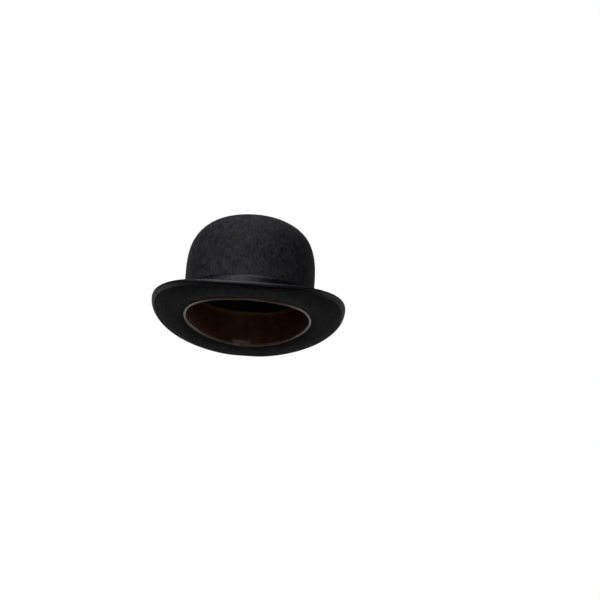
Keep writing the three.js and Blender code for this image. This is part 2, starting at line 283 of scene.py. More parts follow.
def new_object(name, vertices, faces, smooth=True):
    mesh = bpy.data.meshes.new(name)
    mesh.from_pydata(vertices.tolist(), [], faces)
    mesh.validate()
    mesh.polygons.foreach_set("use_smooth", [smooth] * len(mesh.polygons))
    made = bpy.data.objects.new(name, mesh)
    bpy.context.scene.collection.objects.link(made)
    return made


def grid_faces(columns, rows, full_turn):
    """Faces between neighbouring points of a grid, and each face's column and row."""
    i = np.arange(columns if full_turn else columns - 1)
    i, j = (a.ravel() for a in np.meshgrid(i, np.arange(rows), indexing="ij"))
    next_i, next_j = (i + 1) % columns, (j + 1) % rows
    corners = [i * rows + j, i * rows + next_j, next_i * rows + next_j, next_i * rows + j]
    return np.stack(corners, 1), i, j


def turn_outwards(mesh_data, poles):
    """Turns every face outwards, and with poles also joins the points on the crown's axis."""
    mesh = bmesh.new()
    mesh.from_mesh(mesh_data)
    if poles:
        pole = [v for v in mesh.verts if v.co.xy.length < 1e-7]
        bmesh.ops.remove_doubles(mesh, verts=pole, dist=1e-6)
    bmesh.ops.recalc_face_normals(mesh, faces=mesh.faces)
    mesh.to_mesh(mesh_data)
    mesh.free()


def swept(name, points, full_turn=True, along=None, poles=False):
    """A closed solid from a grid of points: columns round the hat, rows round the section's loop.

    The section's loop has its two sides in step, so an open sweep is closed by joining them.
    UV map "cloth" holds the distance round the hat and along the section, in metres.
    """
    columns, rows = points.shape[:2]
    faces, i, j = grid_faces(columns, rows, full_turn)
    if along is None:
        along = distance_along(points[:, rows // 4])
    run = np.linalg.norm(np.diff(points, axis=1, append=points[:, :1]), axis=2).mean(0)
    across = np.concatenate([[0], np.cumsum(run)])
    u = np.stack([along[i], along[i], along[i + 1], along[i + 1]], 1)
    v = np.stack([across[j], across[j + 1], across[j + 1], across[j]], 1)
    face_list = [faces]
    uv_list = [np.stack([u, v], 2).reshape(-1, 2)]
    if not full_turn:
        k = np.arange(rows // 2 - 1)
        cap = np.stack([k, rows - 1 - k, rows - 2 - k, k + 1], 1)
        for column, facing in ((0, cap), (columns - 1, cap[:, ::-1])):
            face_list.append(facing + column * rows)
            uv_list.append(np.zeros((4 * len(k), 2)) + [along[column], 0.0])
    made = new_object(name, points.reshape(-1, 3) * MM, np.concatenate(face_list).tolist())
    layer = made.data.uv_layers.new(name="cloth")
    layer.data.foreach_set("uv", (np.concatenate(uv_list) * MM).ravel().astype(np.float32))
    turn_outwards(made.data, poles)
    return made


def between(side, other):
    """The loop of a strip's section: one side forwards, the other back."""
    return np.concatenate([side, other[:, ::-1]], 1)


def paint(made, name, values):
    """A number for each vertex, which a material reads by name."""
    layer = made.data.attributes.new(name, "FLOAT", "POINT")
    layer.data.foreach_set("value", np.asarray(values, np.float32).ravel())


def vertices(made):
    points = np.empty(3 * len(made.data.vertices))
    made.data.vertices.foreach_get("co", points)
    return points.reshape(-1, 3) / MM


# ----------------------------------------------------------
# Materials


class Shader:
    """A node material; an input is a number, a colour or another node's output."""

    def __init__(self, name):
        self.material = bpy.data.materials.new(name)
        self.material.use_nodes = True
        self.nodes = self.material.node_tree.nodes
        self.links = self.material.node_tree.links
        self.nodes.clear()
        self.output = self.nodes.new("ShaderNodeOutputMaterial")

    def add(self, kind, inputs=None, **settings):
        node = self.nodes.new("ShaderNode" + kind)
        for key, value in settings.items():
            setattr(node, key, value)
        for key, value in (inputs or {}).items():
            self.put(node.inputs[key], value)
        return node

    def put(self, socket, value):
        if isinstance(value, bpy.types.NodeSocket):
            self.links.new(value, socket)
        else:
            socket.default_value = value

    def principled(self, **inputs):
        names = {k.replace("_", " "): v for k, v in inputs.items()}
        shader = self.add("BsdfPrincipled", names)
        self.links.new(shader.outputs[0], self.output.inputs[0])
        return self.material

    def place(self):
        """Place on the object, in metres."""
        return self.add("TexCoord").outputs["Object"]

    def cloth(self):
        """Distance round the hat and along the section, in metres."""
        return self.add("UVMap", uv_map="cloth").outputs[0]

    def stretched(self, vector, scale):
        node = self.add("Mapping", {"Vector": vector, "Scale": scale})
        return node.outputs[0]

    def noise(self, vector, scale, detail=2.0, roughness=0.5, distortion=0.0):
        inputs = {"Vector": vector, "Scale": scale, "Detail": detail}
        inputs.update({"Roughness": roughness, "Distortion": distortion})
        return self.add("TexNoise", inputs).outputs["Fac"]

    def math(self, operation, a, b=0.0, add=0.0):
        node = self.add("Math", operation=operation)
        for k, value in enumerate((a, b, add)):
            self.put(node.inputs[k], value)
        return node.outputs[0]

    def remap(self, value, low, high, to_low=0.0, to_high=1.0):
        inputs = {"Value": value, "From Min": low, "From Max": high}
        inputs.update({"To Min": to_low, "To Max": to_high})
        return self.add("MapRange", inputs, clamp=True).outputs[0]

    def mix(self, factor, a, b, mode="MIX"):
        node = self.add("Mix", data_type="RGBA", blend_type=mode)
        self.put(node.inputs[0], factor)
        self.put(node.inputs[6], a)
        self.put(node.inputs[7], b)
        return node.outputs[2]

    def attribute(self, name):
        return self.add("Attribute", attribute_name=name).outputs["Fac"]

    def bump(self, height, strength, distance, normal=None):
        inputs = {"Height": height, "Strength": strength, "Distance": distance}
        node = self.add("Bump", inputs)
        if normal is not None:
            self.put(node.inputs["Normal"], normal)
        return node.outputs[0]


# Colours are linear, and most come in pairs that a noise mixes: a darker and a lighter tone.
FELT_TONES = (0.0045, 0.0045, 0.0048, 1), (0.0370, 0.0362, 0.0410, 1)
FELT_CASTS = (1.0, 1.0, 0.98, 1), (0.95, 0.93, 1.13, 1)
FELT_DUST = (0.085, 0.082, 0.078, 1)
FELT_SHEEN = (0.75, 0.76, 0.9, 1)
BAND_TONES = (0.0026, 0.0024, 0.0033, 1), (0.0060, 0.0055, 0.0076, 1)
BINDING_TONES = (0.0046, 0.0043, 0.0054, 1), (0.0100, 0.0095, 0.0115, 1)
# The bow is the band's own ribbon, made lighter than the band so that it reads in shade: painted
# light.
BOW_PAINTED_LIGHTER_TONES = (0.0075, 0.0070, 0.0090, 1), (0.0170, 0.0160, 0.0205, 1)
RIBBON_SHINE = (0.96, 0.93, 1.0, 1)
LEATHER_TONES = (0.112, 0.040, 0.020, 1), (0.215, 0.083, 0.042, 1)
LEATHER_FLECK = (0.31, 0.14, 0.058, 1)
LEATHER_RUBBED = (0.075, 0.031, 0.014, 1)
# The roll's pale colour is partly polished, worn leather and partly a painted highlight.
LEATHER_ROLL_WORN_AND_HIGHLIGHT = (0.50, 0.34, 0.25, 1)
LEATHER_EDGE = (0.40, 0.22, 0.12, 1)
TAB_TONES = (0.50, 0.33, 0.22, 1), (0.68, 0.49, 0.37, 1)
TAB_EDGE = (0.17, 0.085, 0.045, 1)
SATIN_TONES = (0.0075, 0.0075, 0.010, 1), (0.016, 0.016, 0.021, 1)
THREAD_TONES = (0.010, 0.010, 0.012, 1), (0.034, 0.033, 0.038, 1)
CANE_TONES = (0.38, 0.29, 0.15, 1), (0.60, 0.50, 0.31, 1)
TAPE_TONES = (0.020, 0.018, 0.016, 1), (0.055, 0.050, 0.044, 1)
CARD_TONES = (0.70, 0.66, 0.54, 1), (0.48, 0.40, 0.27, 1)
FLOOR_TONES = (0.80, 0.80, 0.80, 1), (0.84, 0.84, 0.84, 1)
WHITE = (1, 1, 1, 1)


def felt_material():
    """Brushed fur felt: a short nap with soft mottling and streaks left by the brush."""
    s = Shader("fur_felt")
    place = s.place()
    cloth = s.cloth()
    mottle = s.noise(place, 100, 4, 0.62, 0.4)
    patches = s.noise(place, 30, 3, 0.55)
    brushed = s.noise(s.stretched(cloth, (300, 95, 1)), 1, 3, 0.6, 0.5)
    tuft = s.noise(s.stretched(place, (480, 480, 330)), 1, 5, 0.78, 0.6)
    fibre = s.noise(s.stretched(place, (1500, 1500, 900)), 1, 3, 0.7)
    tone = s.math("ADD", s.math("MULTIPLY", mottle, 0.55), s.math("MULTIPLY", brushed, 0.45))
    tone = s.math("ADD", s.math("MULTIPLY", tone, 0.45), s.math("MULTIPLY", tuft, 0.55))
    base = s.mix(s.remap(tone, 0.42, 0.60), *FELT_TONES)
    cool = s.mix(s.remap(patches, 0.42, 0.62), *FELT_CASTS)
    base = s.mix(0.8, base, cool, "MULTIPLY")
    dust = s.math("MULTIPLY", s.attribute("wear"), s.remap(fibre, 0.35, 0.7))
    base = s.mix(s.math("MULTIPLY", dust, 0.55), base, FELT_DUST)
    grain = s.bump(fibre, 0.35, 0.0004)
    grain = s.bump(tuft, 0.55, 0.0009, grain)
    grain = s.bump(s.math("ADD", mottle, brushed), 0.18, 0.0018, grain)
    return s.principled(
        Base_Color=base,
        Roughness=s.remap(tuft, 0.35, 0.65, 0.60, 0.78),
        IOR=1.45,
        Specular_IOR_Level=0.14,
        Sheen_Weight=0.02,
        Sheen_Roughness=0.45,
        Sheen_Tint=FELT_SHEEN,
        Normal=grain,
    )


def ribbon_material(name, tones, roughness, shine):
    """Grosgrain: the ribs are in the mesh, the fine threads that run along the ribbon are here."""
    s = Shader(name)
    cloth = s.cloth()
    threads = s.add(
        "TexWave",
        {"Vector": cloth, "Scale": 900, "Distortion": 0.6, "Detail": 1.0, "Detail Scale": 900},
        bands_direction="Y",
    ).outputs["Fac"]
    slub = s.noise(s.stretched(cloth, (160, 26, 1)), 1, 3, 0.6)
    patch = s.noise(s.place(), 45, 3, 0.5)
    tone = s.math("ADD", s.math("MULTIPLY", slub, 0.7), s.math("MULTIPLY", patch, 0.3))
    base = s.mix(s.remap(tone, 0.35, 0.65), *tones)
    base = s.mix(s.math("MULTIPLY", threads, 0.25), base, tones[1])
    grain = s.bump(threads, 0.3, 0.00015)
    return s.principled(
        Base_Color=base,
        Roughness=s.remap(slub, 0.3, 0.7, roughness, roughness + 0.1),
        Specular_IOR_Level=shine,
        Specular_Tint=RIBBON_SHINE,
        Sheen_Weight=0.03,
        Sheen_Roughness=0.35,
        Normal=grain,
    )


def leather_material():
    """Worn brown roan: fine pebbled grain, darker where a head has rubbed, pale at the cut edge."""
    s = Shader("sweatband_leather")
    place = s.place()
    pebble = s.add("TexVoronoi", {"Vector": place, "Scale": 1100}).outputs["Distance"]
    crease = s.noise(s.stretched(s.cloth(), (60, 420, 1)), 1, 4, 0.65)
    blotch = s.noise(place, 55, 4, 0.6, 0.5)
    fine = s.noise(place, 420, 3, 0.6)
    base = s.mix(s.remap(blotch, 0.32, 0.7), *LEATHER_TONES)
    base = s.mix(s.math("MULTIPLY", s.remap(fine, 0.45, 0.7), 0.3), base, LEATHER_FLECK)
    stain = s.math("MULTIPLY", s.attribute("rubbed"), s.remap(crease, 0.3, 0.6, 0.55, 1.0))
    base = s.mix(s.math("MULTIPLY", stain, 0.6), base, LEATHER_RUBBED)
    # Pale roll: partly polished leather, partly a painted highlight; the same mask also sets the
    # coat.
    base = s.mix(s.math("MULTIPLY", s.attribute("polished_and_highlight"), 0.8), base, LEATHER_ROLL_WORN_AND_HIGHLIGHT)
    base = s.mix(s.attribute("cut_edge"), base, LEATHER_EDGE)
    grain = s.bump(pebble, 0.35, 0.00025)
    grain = s.bump(crease, 0.28, 0.0004, grain)
    return s.principled(
        Base_Color=base,
        Roughness=s.remap(blotch, 0.3, 0.7, 0.36, 0.52),
        Specular_IOR_Level=0.5,
        Coat_Weight=s.math("MULTIPLY_ADD", s.attribute("polished_and_highlight"), 0.95, add=0.05),
        Coat_Roughness=0.22,
        Coat_IOR=1.5,
        Normal=grain,
    )


def tab_material():
    """Pale tan goatskin of the tab over the join."""
    s = Shader("tan_tab_leather")
    place = s.place()
    blotch = s.noise(place, 160, 4, 0.6, 0.3)
    pore = s.noise(place, 1500, 2, 0.6)
    base = s.mix(s.remap(blotch, 0.3, 0.7), *TAB_TONES)
    base = s.mix(s.math("MULTIPLY", s.attribute("rim"), 0.6), base, TAB_EDGE)
    return s.principled(
        Base_Color=base,
        Roughness=s.remap(blotch, 0.3, 0.7, 0.5, 0.66),
        Normal=s.bump(pore, 0.4, 0.0002),
    )


def satin_material():
    """Black satin lining: smooth floats that shine along the warp."""
    s = Shader("lining_satin")
    cloth = s.cloth()
    warp = s.noise(s.stretched(cloth, (2600, 60, 1)), 1, 2, 0.6)
    cloud = s.noise(s.place(), 40, 3, 0.5)
    base = s.mix(s.remap(cloud, 0.3, 0.7), *SATIN_TONES)
    return s.principled(
        Base_Color=base,
        Roughness=s.remap(warp, 0.3, 0.7, 0.28, 0.40),
        Specular_IOR_Level=0.5,
        Anisotropic=0.5,
        Sheen_Weight=0.15,
        Sheen_Roughness=0.3,
        Normal=s.bump(warp, 0.25, 0.00012),
    )


def thread_material():
    """Twisted sewing thread."""
    s = Shader("sewing_thread")
    inputs = {"Vector": s.place(), "Scale": 1400, "Distortion": 1.0}
    twist = s.add("TexWave", inputs, bands_direction="DIAGONAL").outputs["Fac"]
    base = s.mix(twist, *THREAD_TONES)
    return s.principled(Base_Color=base, Roughness=0.5, Normal=s.bump(twist, 0.5, 0.0001))


def cane_material():
    """Split cane with its lengthwise grain."""
    s = Shader("split_cane")
    grain = s.noise(s.stretched(s.place(), (300, 300, 2500)), 1, 3, 0.6)
    base = s.mix(s.remap(grain, 0.3, 0.7), *CANE_TONES)
    return s.principled(Base_Color=base, Roughness=0.5, Normal=s.bump(grain, 0.4, 0.0002))


def tape_material():
    """Plain woven cotton tape."""
    s = Shader("cotton_tape")
    weave = s.add("TexChecker", {"Vector": s.place(), "Scale": 1800}).outputs["Fac"]
    fluff = s.noise(s.place(), 600, 3, 0.6)
    base = s.mix(s.remap(fluff, 0.3, 0.7), *TAPE_TONES)
    return s.principled(Base_Color=base, Roughness=0.9, Normal=s.bump(weave, 0.3, 0.0001))


def paper_material():
    """Aged blank card."""
    s = Shader("aged_card")
    foxing = s.noise(s.place(), 220, 4, 0.6)
    base = s.mix(s.remap(foxing, 0.5, 0.75), *CARD_TONES)
    pulp = s.noise(s.place(), 2200, 2, 0.6)
    return s.principled(Base_Color=base, Roughness=0.85, Normal=s.bump(pulp, 0.3, 0.0001))


FELT_LOOK = felt_material()
BAND_LOOK = ribbon_material("band_grosgrain", BAND_TONES, roughness=0.20, shine=0.27)
BINDING_LOOK = ribbon_material("binding_grosgrain", BINDING_TONES, roughness=0.30, shine=0.5)
# The bow's lighter tones are painted light; the band and the bow are one ribbon.
BOW_PAINTED_LIGHTER_LOOK = ribbon_material("bow_grosgrain_painted_lighter", BOW_PAINTED_LIGHTER_TONES, roughness=0.30, shine=0.9)
LEATHER_LOOK = leather_material()
TAB_LOOK = tab_material()
SATIN_LOOK = satin_material()
THREAD_LOOK = thread_material()


def finish_piece(made, material, slot, *nodes):
    made.data.materials.clear()
    made.data.materials.append(material)
    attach(made, "root")
    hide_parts(*nodes)


# ----------------------------------------------------------
# The felt


def make_felt():
    angle = around(384)
    under = felt_under(angle)
    top = offset(under, FELT)
    top[:, 0, 0] = under[:, 0, 0]  # keeps the crown's middle on the axis
    points = handwork(place(angle, between(top, under)))
    made = swept("felt_shell", points, poles=True)
    x, y, z = vertices(made).T
    edge = 0.6 * ramp(np.hypot(x / BRIM_HALF_WIDTH, y / BRIM_HALF_LENGTH), 0.955, 1)
    crown = 0.35 * ramp(z, 124, 136)
    shoulder = 0.25 * bell(z, 112, 9)
    paint(made, "wear", np.clip(edge + crown + shoulder, 0, 1))
    finish_piece(made, FELT_LOOK, "felt", "felt_body")


# ----------------------------------------------------------
# Ribbon


def ribs(distance, depth, pitch=RIB):
    """Height of the grosgrain's ribs at a distance along the ribbon."""
    return depth * (np.abs(np.sin(np.pi * distance / pitch)) - 0.6)


def rib_columns(length, per_rib=4):
    return int(round(length / RIB)) * per_rib


def hat_band_line(angle):
    low = break_height(angle) + FELT + BAND_FOOT
    high = BAND_TOP + SIDE_LIFT * side_share(angle)
    return low, high


def make_hat_band():
    slit, rib_depth, picot_depth = 0.004, 0.155, 0.12
    angle = around(rib_columns(TURN * 93), slit, TURN - slit)
    low, high = hat_band_line(angle)
    share = np.linspace(0, 1, 9)
    from_middle = np.abs(2 * share - 1)
    inner = FELT + GAP
    along = distance_along(place(angle, table(angle, (inner, low)))[:, 0])
    at = along[: len(angle)]
    rib = ribs(at, rib_depth)
    picot = picot_depth * np.cos(TURN * at / RIB)
    slack = 0.10 * np.sin(angle * 7 + 0.4) + 0.08 * np.sin(angle * 17 + 1.3)
    z = (low - picot)[:, None] * (1 - share) + (high + picot)[:, None] * share
    edge = 1 - 0.45 * from_middle**14
    outer = inner + RIBBON * edge[None, :] + rib[:, None] * edge[None, :]
    lean = np.maximum(0, slack)[:, None] * (from_middle**3)[None, :]
    front = np.stack([outer + lean, z], 2)[:, ::-1]
    behind = np.stack([np.broadcast_to(inner + lean, z.shape), z], 2)[:, ::-1]
    points = handwork(place(angle, between(front, behind)))
    made = swept("hat_band_ribbon", points, False, along)
    finish_piece(made, BAND_LOOK, "ribbon", "hat_band")


def binding_line(angle, distance):
    """The binding at a distance outside the felt: in under the brim, round the edge, and back."""
    width = lip_foot(angle) - BREAK_RADIUS
    inwards = BINDING_TUCK * np.linspace(1, 0, 5)[:-1]
    shares = 1 - inwards[None, :] / width[:, None]
    h = BREAK_RADIUS + width[:, None] * shares
    tail = np.stack([h, brim_height(angle[:, None], shares)], 2)
    under = np.concatenate([tail, lip_under(angle, 6)], 1)
    below = offset(under, -distance)
    above = offset(under, FELT + distance)[:, ::-1]
    low, high = below[:, -1], above[:, 0]
    middle = (low + high) / 2
    half = (low - high)[:, 0] / 2
    turn = np.linspace(0, math.pi, 9)
    cap_h = middle[:, :1] + half[:, None] * np.cos(turn)
    cap_z = middle[:, 1:] + 0.55 * half[:, None] * np.sin(turn)
    return np.concatenate([below[:, :-1], np.stack([cap_h, cap_z], 2), above[:, 1:]], 1)


def make_binding():
    rib_depth, tip_thickness = 0.18, 0.55
    angle = around(rib_columns(880, 3))
    along = distance_along(place(angle, lip_under(angle, 2)[:, -1:])[:, 0])
    at = along[:-1]
    pitch = along[-1] / round(along[-1] / RIB)
    rib = ribs(at, rib_depth, pitch)
    picot = 0.15 * np.cos(TURN * at / pitch)
    pucker = 0.10 * np.sin(TURN * at / 11 + 2 * np.sin(at / 37)) * np.sin(at / 23)
    inner = binding_line(angle, GAP - 0.1)
    rows = inner.shape[1]
    share = np.abs(np.linspace(-1, 1, rows))
    thick = np.full((len(angle), rows), GAP + BINDING)
    thick += rib[:, None] * (1 - share**10)[None, :]
    thick += (np.maximum(0, pucker)[:, None] + 0.06) * (share**6)[None, :]
    thick *= np.where(share > 0.97, tip_thickness, 1.0)[None, :]
    on_felt = binding_line(angle, 0.0)
    outer = on_felt + (binding_line(angle, 1.0) - on_felt) * thick[..., None]
    outer[:, 0] += (outer[:, 0] - outer[:, 1]) * picot[:, None]
    points = handwork(place(angle, between(inner, outer)))
    made = swept("binding_ribbon", points, True, along)
    finish_piece(made, BINDING_LOOK, "ribbon", "brim_binding")


# ----------------------------------------------------------
# Stitches

STITCH_RADIUS = 0.17
STITCH_ARCH = 0.16


def stitches(name, centre_line, normal_line, pitch, skip):
    """A row of separate stitches along a closed line; each dives into the cloth at both ends."""
    run = distance_along(centre_line)
    total = run[-1]
    count = int(total / pitch)
    closed = np.concatenate([centre_line, centre_line[:1]])
    closed_normal = np.concatenate([normal_line, normal_line[:1]])
    sides, stations, length = 6, 7, pitch * 0.74
    verts, faces = [], []
    for k in range(count):
        start = k * total / count + RNG.uniform(-0.08, 0.08)
        if skip(start / total):
            continue
        where = start + length * np.linspace(0, 1, stations)
        middle = np.stack([np.interp(where, run, closed[:, a]) for a in range(3)], 1)
        normal = np.stack([np.interp(where, run, closed_normal[:, a]) for a in range(3)], 1)
        normal /= np.linalg.norm(normal, axis=1, keepdims=True)
        arch = np.sin(np.linspace(0, math.pi, stations))
        middle = middle + normal * (STITCH_ARCH * (arch - 1))[:, None]
        along = np.gradient(middle, axis=0)
        along /= np.linalg.norm(along, axis=1, keepdims=True)
        side = np.cross(along, normal)
        up = np.cross(side, along)
        thick = STITCH_RADIUS * (0.35 + 0.65 * arch**0.5)
        turn = TURN * np.arange(sides) / sides
        ring = (
            middle[:, None]
            + side[:, None] * (thick[:, None] * np.cos(turn))[..., None]
            + up[:, None] * (thick[:, None] * np.sin(turn))[..., None]
        )
        base = len(verts)
        verts.extend(ring.reshape(-1, 3))
        for a in range(stations - 1):
            for b in range(sides):
                c = (b + 1) % sides
                lower, upper = base + a * sides, base + (a + 1) * sides
                faces.append((lower + b, lower + c, upper + c, upper + b))
        faces.append(tuple(base + b for b in reversed(range(sides))))
        faces.append(tuple(base + (stations - 1) * sides + b for b in range(sides)))
    return new_object(name, np.array(verts) * MM, faces)


def stitch_row(name, node, section_at, pitch, skip=lambda share: False):
    """Stitches along the place that section_at gives: the points and the cloth's outward side."""
    angle = around(1200)
    here, out = section_at(angle)
    centre = handwork(place(angle, here[:, None]))[:, 0]
    tip = handwork(place(angle, (here + out)[:, None]))[:, 0]
    made = stitches(name, centre, tip - centre, pitch, skip)
    finish_piece(made, THREAD_LOOK, "thread", node)


def make_binding_stitches():
    pitch, above_ribbon = 2.6, 0.15

    def section_at(row):
        def section(angle):
            cover = binding_line(angle, GAP + BINDING + above_ribbon)[:, row]
            return cover, cover - binding_line(angle, GAP)[:, row]

        return section

    stitch_row("binding_stitches_under", "binding_thread_under", section_at(2), pitch)
    stitch_row("binding_stitches_top", "binding_thread_top", section_at(-3), pitch)


# ----------------------------------------------------------
# The bow


def bow_frame(distance):
    """Angle, and the height of the bow's middle, at a distance along the crown from the knot."""
    angle = distance / HEAD_HALF_LENGTH
    low, high = hat_band_line(angle)
    return angle, (low + high) / 2


TAIL_INNER = FELT + GAP + RIBBON + GAP
LOOP_INNER = TAIL_INNER + BINDING + GAP
LOOP_AT_KNOT = LOOP_INNER + 2.0  # place of the loops' upper layer, under the knot


def place_bow(distance, height, out):
    """Points from a distance along the crown, a height from the bow's middle and a place out."""
    angle, middle = bow_frame(distance.ravel())
    section = np.stack([out.ravel(), middle + height.ravel()], 1)[:, None]
    return handwork(place(angle, section))[:, 0].reshape(*distance.shape, 3)


def make_bow_tails():
    half_width, rib_depth, end_slant = 40.0, 0.12, 0.055
    share = np.linspace(-1, 1, 15)
    along = np.linspace(-half_width, half_width, rib_columns(2 * half_width) + 1)
    distance = along[:, None] * (1 + end_slant * share[None, :] * np.sign(along[:, None]))
    far = np.clip(np.abs(along) / half_width, 0, 1)
    half_height = 8.5 + 4.0 * np.sin(far * math.pi / 2) ** 2
    height = half_height[:, None] * share[None, :]
    curl = 1.1 * ramp(far, 0.55, 1) ** 2
    rib = ribs(along, rib_depth)[:, None]
    inner = np.broadcast_to(TAIL_INNER + curl[:, None], height.shape)
    edge = 1 - 0.4 * np.abs(share)[None, :] ** 14
    outer = inner + (BINDING + rib) * edge
    points = place_bow(between(distance, distance), between(height, height), between(outer, inner))
    made = swept("bow_tail_ribbon", points, False, along + half_width)
    finish_piece(made, BOW_PAINTED_LIGHTER_LOOK, "ribbon", "bow_tails")


def loop_path(reach):
    """Distance along and height out of both loops' ribbon, from the knot out and back."""
    fold = 1.05
    leg = np.linspace(0, reach, rib_columns(reach))
    turn = np.linspace(-math.pi / 2, math.pi / 2, 14)[1:-1]
    puff = np.sin(np.clip(leg / reach, 0, 1) * math.pi) ** 1.2
    low = LOOP_INNER + 0.25 + 0.10 * puff
    high = LOOP_AT_KNOT - 0.3 + 2.3 * puff - 0.4 * (leg / reach) ** 3
    across = (low[-1] + high[-1]) / 2 + (high[-1] - low[-1]) / 2 * np.sin(turn)
    along = np.concatenate([leg, reach + fold * np.cos(turn), leg[::-1]])
    out = np.concatenate([low, across, high[::-1]])
    return np.concatenate([along, -along[1:-1]]), np.concatenate([out, out[1:-1]])


def make_bow_loops():
    """One ribbon folded into two flat loops, gathered under the knot."""
    reach, thickness, rib_depth = 31.0, 0.42, 0.10
    along, out = loop_path(reach)
    centre = np.stack([along, out], 1)
    run = distance_along(centre)
    tangent = np.roll(centre, -1, 0) - np.roll(centre, 1, 0)
    tangent /= np.linalg.norm(tangent, axis=1, keepdims=True)
    normal = np.stack([-tangent[:, 1], tangent[:, 0]], 1)
    share = np.linspace(-1, 1, 25)[None, :]
    far = np.clip(np.abs(along) / reach, 0, 1)[:, None]
    height = (8.0 + 5.2 * np.sin(far * math.pi / 2) ** 1.6) * share
    upper = (out > (LOOP_INNER + LOOP_AT_KNOT) / 2)[:, None]
    folds = 0.65 * np.sin(share * 3.1 * math.pi + 0.6 * np.sign(along)[:, None])
    ripple = folds * np.exp(-np.abs(along) / 10.0)[:, None] * np.where(upper, 1.0, 0.3)
    bulge = -0.9 * np.abs(share) ** 3 * far * upper
    middle = out[:, None] + ripple + bulge
    layers = []
    for reached in (thickness / 2 + ribs(run[:-1], rib_depth)[:, None], -thickness / 2):
        layer_along = np.broadcast_to(along[:, None] + normal[:, :1] * reached, middle.shape)
        layers.append((layer_along, middle + normal[:, 1:] * reached))
    (outer_along, outer), (inner_along, inner) = layers
    points = place_bow(
        between(outer_along, inner_along), between(height, height), between(outer, inner)
    )
    made = swept("bow_loop_ribbon", points, True, run)
    finish_piece(made, BOW_PAINTED_LIGHTER_LOOK, "ribbon", "bow_loops")


def knot_path(clear, face):
    """Height and place out of the strip's back, up over the loops, across them and down."""
    corner = 1.6
    leg = np.linspace(TAIL_INNER, face - corner, 6)[:-1]
    turn = np.linspace(0, math.pi / 2, 8)
    turn_height = clear - corner + corner * np.cos(turn)
    turn_out = face - corner + corner * np.sin(turn)
    across = np.linspace(clear - corner, -clear + corner, 26)[1:-1]
    ends = np.full(5, clear)
    height = np.concatenate([ends, turn_height, across, -turn_height[::-1], -ends])
    out = np.concatenate([leg, turn_out, np.full(24, face), turn_out[::-1], leg[::-1]])
    return height, out


def make_bow_knot():
    """The strip wrapped over the middle of the bow, tucked in above and below."""
    half_width, clear, thickness, rib_depth = 5.4, 9.9, 0.45, 0.04
    height, out = knot_path(clear, LOOP_AT_KNOT + 1.35)
    share = np.linspace(-1, 1, 21)[None, :]
    centre = np.stack([height, out], 1)
    tangent = np.gradient(centre, axis=0)
    tangent /= np.linalg.norm(tangent, axis=1, keepdims=True)
    normal = np.stack([tangent[:, 1], -tangent[:, 0]], 1)
    facing = (normal * (centre - [0, TAIL_INNER])).sum(1, keepdims=True)
    normal *= np.where(facing < 0, -1, 1)
    run = distance_along(centre, closed=False)
    waist = 1 - 0.10 * np.cos(np.clip(height / clear, -1, 1) * math.pi / 2)
    along = (half_width * waist)[:, None] * share
    pleat = 0.34 * np.sin(share * 1.5 * math.pi) ** 2 * (1 - np.abs(share) ** 6)
    thick = thickness + pleat + ribs(run, rib_depth)[:, None]
    outer = centre[:, None] + normal[:, None] * thick[..., None]
    loop = between(outer, np.broadcast_to(centre[:, None], outer.shape))
    points = place_bow(between(along, along), loop[..., 0], loop[..., 1])
    made = swept("bow_knot_ribbon", points, False, run)
    finish_piece(made, BOW_PAINTED_LIGHTER_LOOK, "ribbon", "bow_knot")


# ----------------------------------------------------------
# The sweatband and what goes with it


def leather_roll(angle, end, steps):
    """The middle of the leather where it goes round the reed, to an angle in the section."""
    start, end = math.radians(150), math.radians(end)
    middle_z = break_height(angle) + ROLL_UP
    return arc(angle, ROLL_IN, middle_z, ROLL_RADIUS - LEATHER / 2, start, end, steps)


WALL_ROWS = 18


def leather_line(angle):
    """The middle of the leather: down the wall, then round the reed."""
    roll = leather_roll(angle, 385, 26)
    share = np.linspace(0, 1, WALL_ROWS)[None, :]
    foot = (break_height(angle) + ROLL_UP + 2.2)[:, None]
    z = SWEATBAND_TOP * (1 - share) + foot * share
    wall = np.stack([np.full_like(z, LEATHER_FACE + LEATHER / 2), z], 2)
    return np.concatenate([wall, (wall[:, -1:] + roll[:, :1]) / 2, roll], 1)


JOIN_SLIT = 0.0012  # half the gap between the leather's ends


def make_sweatband():
    angle = around(720, BACK + JOIN_SLIT, BACK + TURN - JOIN_SLIT)
    line = leather_line(angle)
    drop = (SWEATBAND_TOP - line[..., 1]) / SWEATBAND_TOP
    wave = 0.5 + 0.5 * np.sin(angle * 5 + 1.0) * np.sin(angle * 3 + 0.3)
    lean = -0.9 * wave[:, None] * np.clip(1 - drop / 0.5, 0, 1) ** 2
    line[..., 0] += np.where(line[..., 1] > 12, lean, 0)
    scallop = 0.25 * np.sin(angle * 9 + 0.5) - 0.25
    line[:, :6, 1] += scallop[:, None] * np.linspace(1, 0, 6)[None, :]
    rows = line.shape[1]
    half = np.full(rows, LEATHER / 2)
    half[:2] = LEATHER * 0.22, LEATHER * 0.42  # the top is skived thin
    back, face = offset(line, half[None, :]), offset(line, -half[None, :])
    points = handwork(place(angle, between(back, face)))
    along = distance_along(points[:, rows + 5], closed=False)
    made = swept("sweatband_leather", points, False, along)
    row = np.tile(np.arange(2 * rows), len(angle))
    row = np.minimum(row, 2 * rows - 1 - row)
    roll = np.clip((row - (WALL_ROWS - 1.5)) / 3, 0, 1)
    y, z = vertices(made).T[1:]
    paint(made, "cut_edge", np.clip(1.3 - row / 2, 0, 0.9))
    # The roll's mask: the coat of its polish, and its pale colour, which is partly a painted
    # highlight.
    paint(made, "polished_and_highlight", roll)
    paint(made, "rubbed", bell(z, 24, 13) * (1 - roll) * (0.45 + 0.55 * ramp(-y, 0, 70)))
    finish_piece(made, LEATHER_LOOK, "leather", "sweatband")


